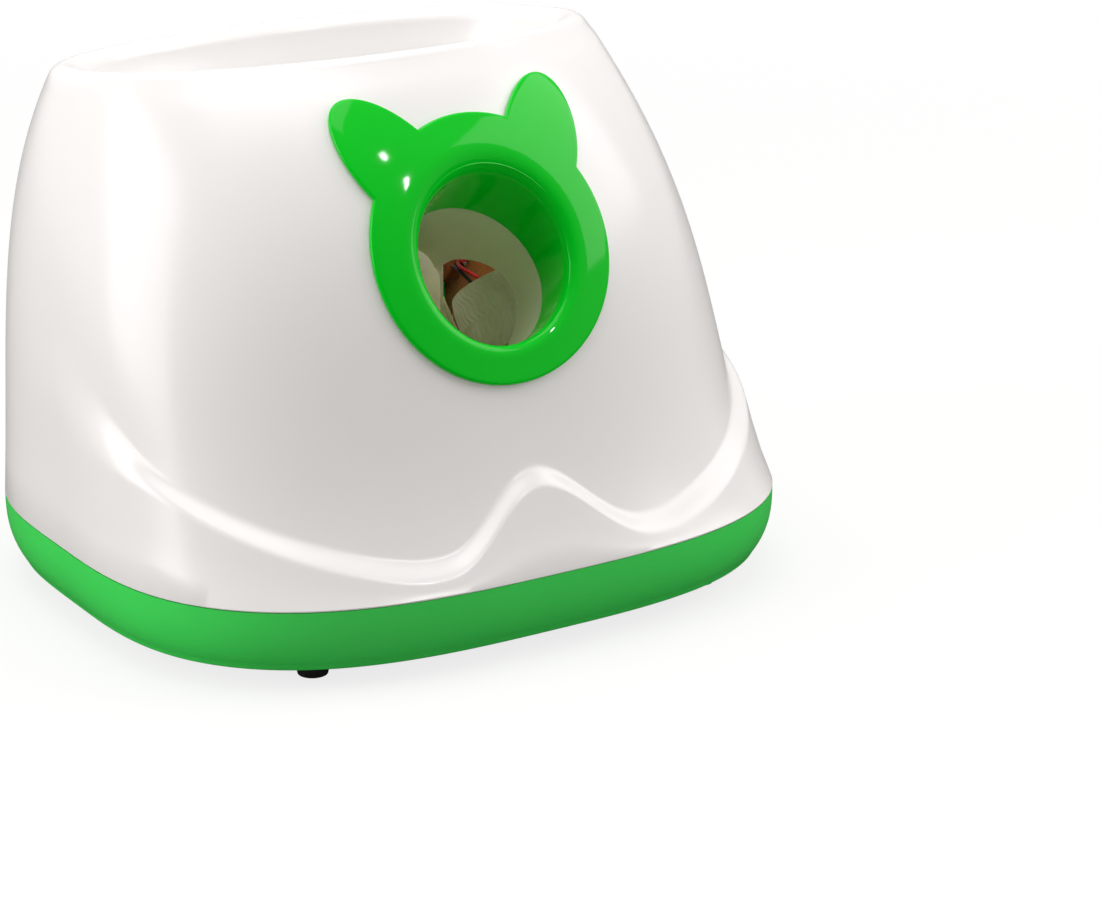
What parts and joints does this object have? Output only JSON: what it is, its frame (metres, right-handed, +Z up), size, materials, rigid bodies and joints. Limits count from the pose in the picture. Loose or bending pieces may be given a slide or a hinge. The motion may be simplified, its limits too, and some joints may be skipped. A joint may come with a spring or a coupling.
{
  "type": "automatic dog ball launcher",
  "caption": "Electric ball launcher for dogs: a ball dropped in the bowl is fed between twin wheels and thrown out of the slanted front port.",
  "frame": {"origin": "centre of the bounding box, at the floor under the rubber feet", "axes": "+X to the right when facing the port, -Y out of the front, +Z up"},
  "size_m": [0.3292, 0.2968, 0.2429],
  "materials": {
    "white_abs": "glossy moulded white",
    "green_abs": "satin moulded green",
    "bezel_green_abs": "glossy moulded bright green",
    "milky_polypropylene": "natural milky polypropylene",
    "black_rubber": "black rubber",
    "pale_rubber": "pale soft rubber with a tread",
    "grey_abs": "grey moulded, fine grain",
    "black_abs": "black moulded, satin",
    "zinc_plated_steel": "bright zinc plate",
    "motor_can": "drawn can, zinc plated",
    "cell_jacket": "dark film jacket",
    "phenolic_board": "brown phenolic laminate",
    "clear_lens": "clear diffusing lens",
    "red_wire": "red insulation",
    "black_wire": "black insulation"
  },
  "bodies": {
    "housing": {"top_shell": "white_abs", "base_tub": "green_abs", "port_bezel": "bezel_green_abs", "hopper_funnel": "white_abs", "launch_tube": "milky_polypropylene", "motor_mount_left": "grey_abs", "motor_mount_right": "grey_abs", "launch_motor_left": "motor_can", "launch_motor_right": "motor_can", "feed_motor": "black_abs", "ball_sensor_emitter": "black_abs", "ball_sensor_receiver": "black_abs", "battery_box": "black_abs", "battery_contact_left": "zinc_plated_steel", "battery_contact_centre": "zinc_plated_steel", "battery_contact_right": "zinc_plated_steel", "control_board": "phenolic_board", "buzzer": "black_abs", "control_panel": "grey_abs", "button_board": "phenolic_board", "power_light": "clear_lens", "distance_light_near": "clear_lens", "distance_light_mid": "clear_lens", "distance_light_far": "clear_lens", "dc_socket": "black_abs", "feed_lead_red": "red_wire", "feed_lead_black": "black_wire", "launch_lead_red": "red_wire", "launch_lead_black": "black_wire", "battery_cell_1": "cell_jacket", "battery_cell_2": "cell_jacket", "battery_cell_3": "cell_jacket", "battery_cell_4": "cell_jacket", "battery_cell_5": "cell_jacket", "battery_cell_6": "cell_jacket", "foot_front_left": "black_rubber", "case_screw_front_left": "zinc_plated_steel", "foot_front_right": "black_rubber", "case_screw_front_right": "zinc_plated_steel", "foot_rear_left": "black_rubber", "case_screw_rear_left": "zinc_plated_steel", "foot_rear_right": "black_rubber", "case_screw_rear_right": "zinc_plated_steel"},
    "wheel_left": {"launch_wheel_left": "grey_abs", "wheel_tyre_left": "pale_rubber", "motor_shaft_left": "zinc_plated_steel"},
    "wheel_right": {"launch_wheel_right": "grey_abs", "wheel_tyre_right": "pale_rubber", "motor_shaft_right": "zinc_plated_steel"},
    "feeder": {"feed_arm": "black_abs", "feed_shaft": "zinc_plated_steel"},
    "power_key": {"power_button": "green_abs"},
    "distance_key": {"distance_button": "green_abs"},
    "door": {"battery_door": "green_abs"}
  },
  "joints": [
    {"name": "wheel_left_spin", "type": "hinge", "parent": "housing", "child": "wheel_left", "pos_m": [-0.055, -0.03095, 0.11174], "axis": [0, 0.6225, 0.7826], "continuous": true},
    {"name": "wheel_right_spin", "type": "hinge", "parent": "housing", "child": "wheel_right", "pos_m": [0.055, -0.03095, 0.11174], "axis": [0, 0.6225, 0.7826], "continuous": true},
    {"name": "feed_arm_swing", "type": "hinge", "parent": "housing", "child": "feeder", "pos_m": [0, 0.071, 0.09453], "axis": [-1, 0, 0], "range_deg": [0, 45]},
    {"name": "power_button_press", "type": "slide", "parent": "housing", "child": "power_key", "axis": [0, -0.9983, 0.0579], "range_m": [0, 0.0015], "stiffness_N_per_m": 300, "springref_m": -0.002},
    {"name": "distance_button_press", "type": "slide", "parent": "housing", "child": "distance_key", "axis": [0, -0.9983, 0.0579], "range_m": [0, 0.0015], "stiffness_N_per_m": 300, "springref_m": -0.002},
    {"name": "battery_door_swing", "type": "hinge", "parent": "housing", "child": "door", "pos_m": [0, 0.03418, 0.008], "axis": [-1, 0, 0], "range_deg": [0, 100]}
  ],
  "couplings": [
    {"joint": "wheel_right_spin", "follows": "wheel_left_spin", "ratio": -1}
  ]
}
